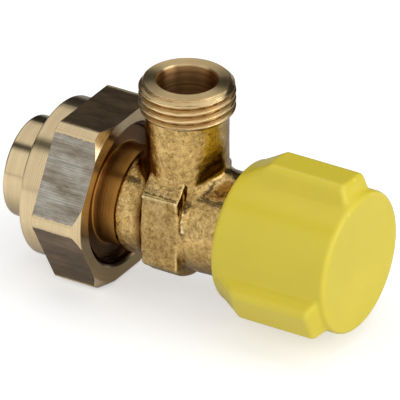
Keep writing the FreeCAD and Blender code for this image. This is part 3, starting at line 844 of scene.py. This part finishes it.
def is_flat(face):
    """Whether a face of the nut lies on a flat of its hexagon."""
    out = Vector((0, face.center.y, face.center.z))
    across = Vector((0, face.normal.y, face.normal.z))
    on_side = abs(face.normal.x) < side_face
    far_out = out.dot(across) > nut_flat_distance * MM
    large = face.area > nut_flat_area * MM * MM
    return on_side and far_out and large and out.length <= nut_turned_corner_r * MM


def is_faced(face):
    """Whether a face of the outlet lies on its flat end or in its bore."""
    distance = math.hypot(face.center.x - outlet_x * MM, face.center.y)
    return face.normal.z > end_face or distance < outlet_mouth_r * MM


def is_spigot_end(face):
    """Whether a face of the spigot lies on the side that looks to the handwheel."""
    return face.normal.x > end_face


def dress_body():
    """Forged skin and machined ends of the body, with their materials."""
    dress(body_skin_piece(), forged_brass())
    outlet = outlet_thread_piece()
    turned = turned_brass("turned_brass_outlet", "Z", outlet_brass, bore_brass, inner_r=6.6,
                          roughness=0.18, marks=0.5, spread=0.5, clean_and_lit=0.92)
    faced = turned_brass("faced_brass_outlet", "Z", faced_brass, bore_brass, inner_r=6.6,
                         roughness=0.33, marks=0.9, spread=0.96)
    dress(outlet, turned, faced)
    mark_faces(outlet, is_faced)
    spigot = union_spigot_piece()
    # Reddish cut brass, partly painted shade inside the nut
    cut_and_shaded = turned_brass("cut_thread_brass", "X", cut_thread_brass, dark_brass, inner_r=8.0,
                        roughness=0.30, marks=1.6)
    # Painted shade on the nut's thread and the spigot's end
    shaded = turned_brass("nut_thread_painted_shade", "X", nut_thread_painted_shade, dark_brass, inner_r=8.0,
                          roughness=0.28, marks=0.5)
    dress(spigot, cut_and_shaded, shaded)
    mark_faces(spigot, is_spigot_end)
    dress(nut_thread_piece(), shaded)


def dress_nut():
    """Union nut, turned on its ends and drawn on its flats."""
    nut = nut_piece()
    turned = turned_brass("turned_brass_nut", "X", nut_brass_colour, dark_brass, inner_r=16.2,
                          roughness=0.24, marks=0.3)
    dress(nut, turned, drawn_flats())
    mark_faces(nut, is_flat)


def dress_solids():
    """Materials of the pieces that are shown as their solids."""
    turned = turned_brass("turned_brass_main", "X", main_brass, dark_brass, inner_r=9.5,
                          roughness=0.20, marks=0.3)
    slip = moulded_plastic("slip_plastic", slip_white, roughness=0.5, shine=0.5)
    pieces_by_material = (
        (turned, ("tail_piece", "headwork_bonnet", "spindle", "plunger")),
        (fibre(), ("union_gasket", "bonnet_seal_ring")),
        (rubber(), ("stem_o_ring_inner", "stem_o_ring_outer", "plunger_o_ring", "seat_washer")),
        (slip, ("thrust_washer", "clip_washer")),
        (steel(), ("spindle_circlip", "washer_disc", "washer_screw")),
    )
    for material, pieces in pieces_by_material:
        for piece in pieces:
            dress(nodes[piece], material)


def make_pieces():
    """Builds the detailed pieces and puts materials on everything."""
    dress_body()
    dress(handwheel_piece(), moulded_plastic("yellow_plastic", wheel_yellow, roughness=0.24, shine=0.33))
    dress_nut()
    dress_solids()


def place_camera():
    """Camera at the photograph's view of the crossing of the two main axes."""
    azimuth = math.radians(view_azimuth)
    elevation = math.radians(view_elevation)
    back = Vector((math.sin(azimuth) * math.cos(elevation), -math.cos(azimuth) * math.cos(elevation),
                   math.sin(elevation)))
    right = Vector((math.cos(azimuth), math.sin(azimuth), 0))
    up = back.cross(right)
    data = bpy.data.cameras.new("camera")
    data.sensor_width = sensor
    data.lens = view_pixels / frame_pixels * sensor
    data.clip_start = view_start
    data.clip_end = view_end
    camera = bpy.data.objects.new("camera", data)
    bpy.context.scene.collection.objects.link(camera)
    place = Vector((outlet_x, 0, 0)) + camera_right * right + camera_up * up + view_distance * back
    camera.matrix_world = Matrix.Translation(place * MM) @ Matrix((right, up, back)).transposed().to_4x4()
    bpy.context.scene.camera = camera


def area_light(name, place, aim, size, power):
    """Square soft light, in metres and watts."""
    data = bpy.data.lights.new(name, "AREA")
    data.size = size
    data.energy = power
    light = bpy.data.objects.new(name, data)
    bpy.context.scene.collection.objects.link(light)
    direction = Vector(aim) - Vector(place)
    light.location = place
    light.rotation_euler = direction.to_track_quat("-Z", "Y").to_euler()


def make_light():
    """Soft lamps on the object."""
    centre = (outlet_x * MM, 0, 0)
    for name, place, size, power in lamps:
        area_light(name, place, centre, size, power)


def make_floor(height):
    """Pale floor that keeps the object's shadow, glows for the camera and darkens behind in reflections."""
    bpy.ops.mesh.primitive_plane_add(size=floor_width, location=(0, 0, height))
    floor = bpy.context.object
    floor.name = "floor"
    look = Nodes("floor_white")
    look.shade("Roughness", floor_roughness)
    look.shade("Specular IOR Level", 0.0)
    path = look.add("ShaderNodeLightPath").outputs
    mirrored = look.math("MAXIMUM", path["Is Glossy Ray"], path["Is Transmission Ray"])
    place = look.split()
    back = look.math("MULTIPLY", look.share(place["X"], *beside), look.share(place["Y"], *behind))
    look.shade("Base Color", look.mix(look.math("MULTIPLY", mirrored, back), floor_colour, behind_colour))
    front = look.math("MULTIPLY", look.share(place["Y"], *in_front), mirrored_lift)
    seen = look.math("MULTIPLY", path["Is Camera Ray"], floor_lift)
    glow = look.math("MAXIMUM", seen, look.math("MULTIPLY", mirrored, front))
    lift = look.add("ShaderNodeEmission")
    look.join(glow, lift.inputs["Strength"])
    both = look.add("ShaderNodeAddShader")
    look.join(look.shader.outputs[0], both.inputs[0])
    look.join(lift.outputs[0], both.inputs[1])
    look.join(both.outputs[0], look.tree.nodes["Material Output"].inputs["Surface"])
    floor.data.materials.append(look.material)


def make_world():
    """Studio round the object: white at the horizon, and bright panels above with dark gaps between."""
    world = bpy.data.worlds.new("studio")
    bpy.context.scene.world = world
    world.use_nodes = True
    look = Nodes.of_tree(world.node_tree)
    ray = look.split("Generated")
    forward = look.math("MULTIPLY", ray["Y"], -1.0)
    angle = look.math("ARCTAN2", forward, ray["Z"])
    turn = look.math("ADD", look.math("DIVIDE", angle, math.tau), 0.5)
    levels = tuple(((degrees + 180) / 360, (level, level, level)) for degrees, level in studio_bands)
    panels = look.ramp(turn, levels)
    above = look.share(ray["Z"], *horizon_white, "SMOOTHSTEP")
    backdrop = look.math("SUBTRACT", 1.0, above)
    aside = look.math("MULTIPLY", look.share(forward, *horizon_front), look.share(forward, *horizon_end))
    horizon = look.math("MULTIPLY", backdrop, aside)
    all_round = look.math("MAXIMUM", panels, horizon)
    studio = look.math("MULTIPLY", all_round, look.share(ray["X"], *studio_left))
    light = look.tree.nodes["Background"]
    light.inputs["Color"].default_value = (*white, 1.0)
    look.join(studio, light.inputs["Strength"])


make_pieces()
place_camera()
make_light()
make_world()
make_floor(cad_box[0][2] - floor_gap)
bpy.context.scene.view_settings.view_transform = "Standard"
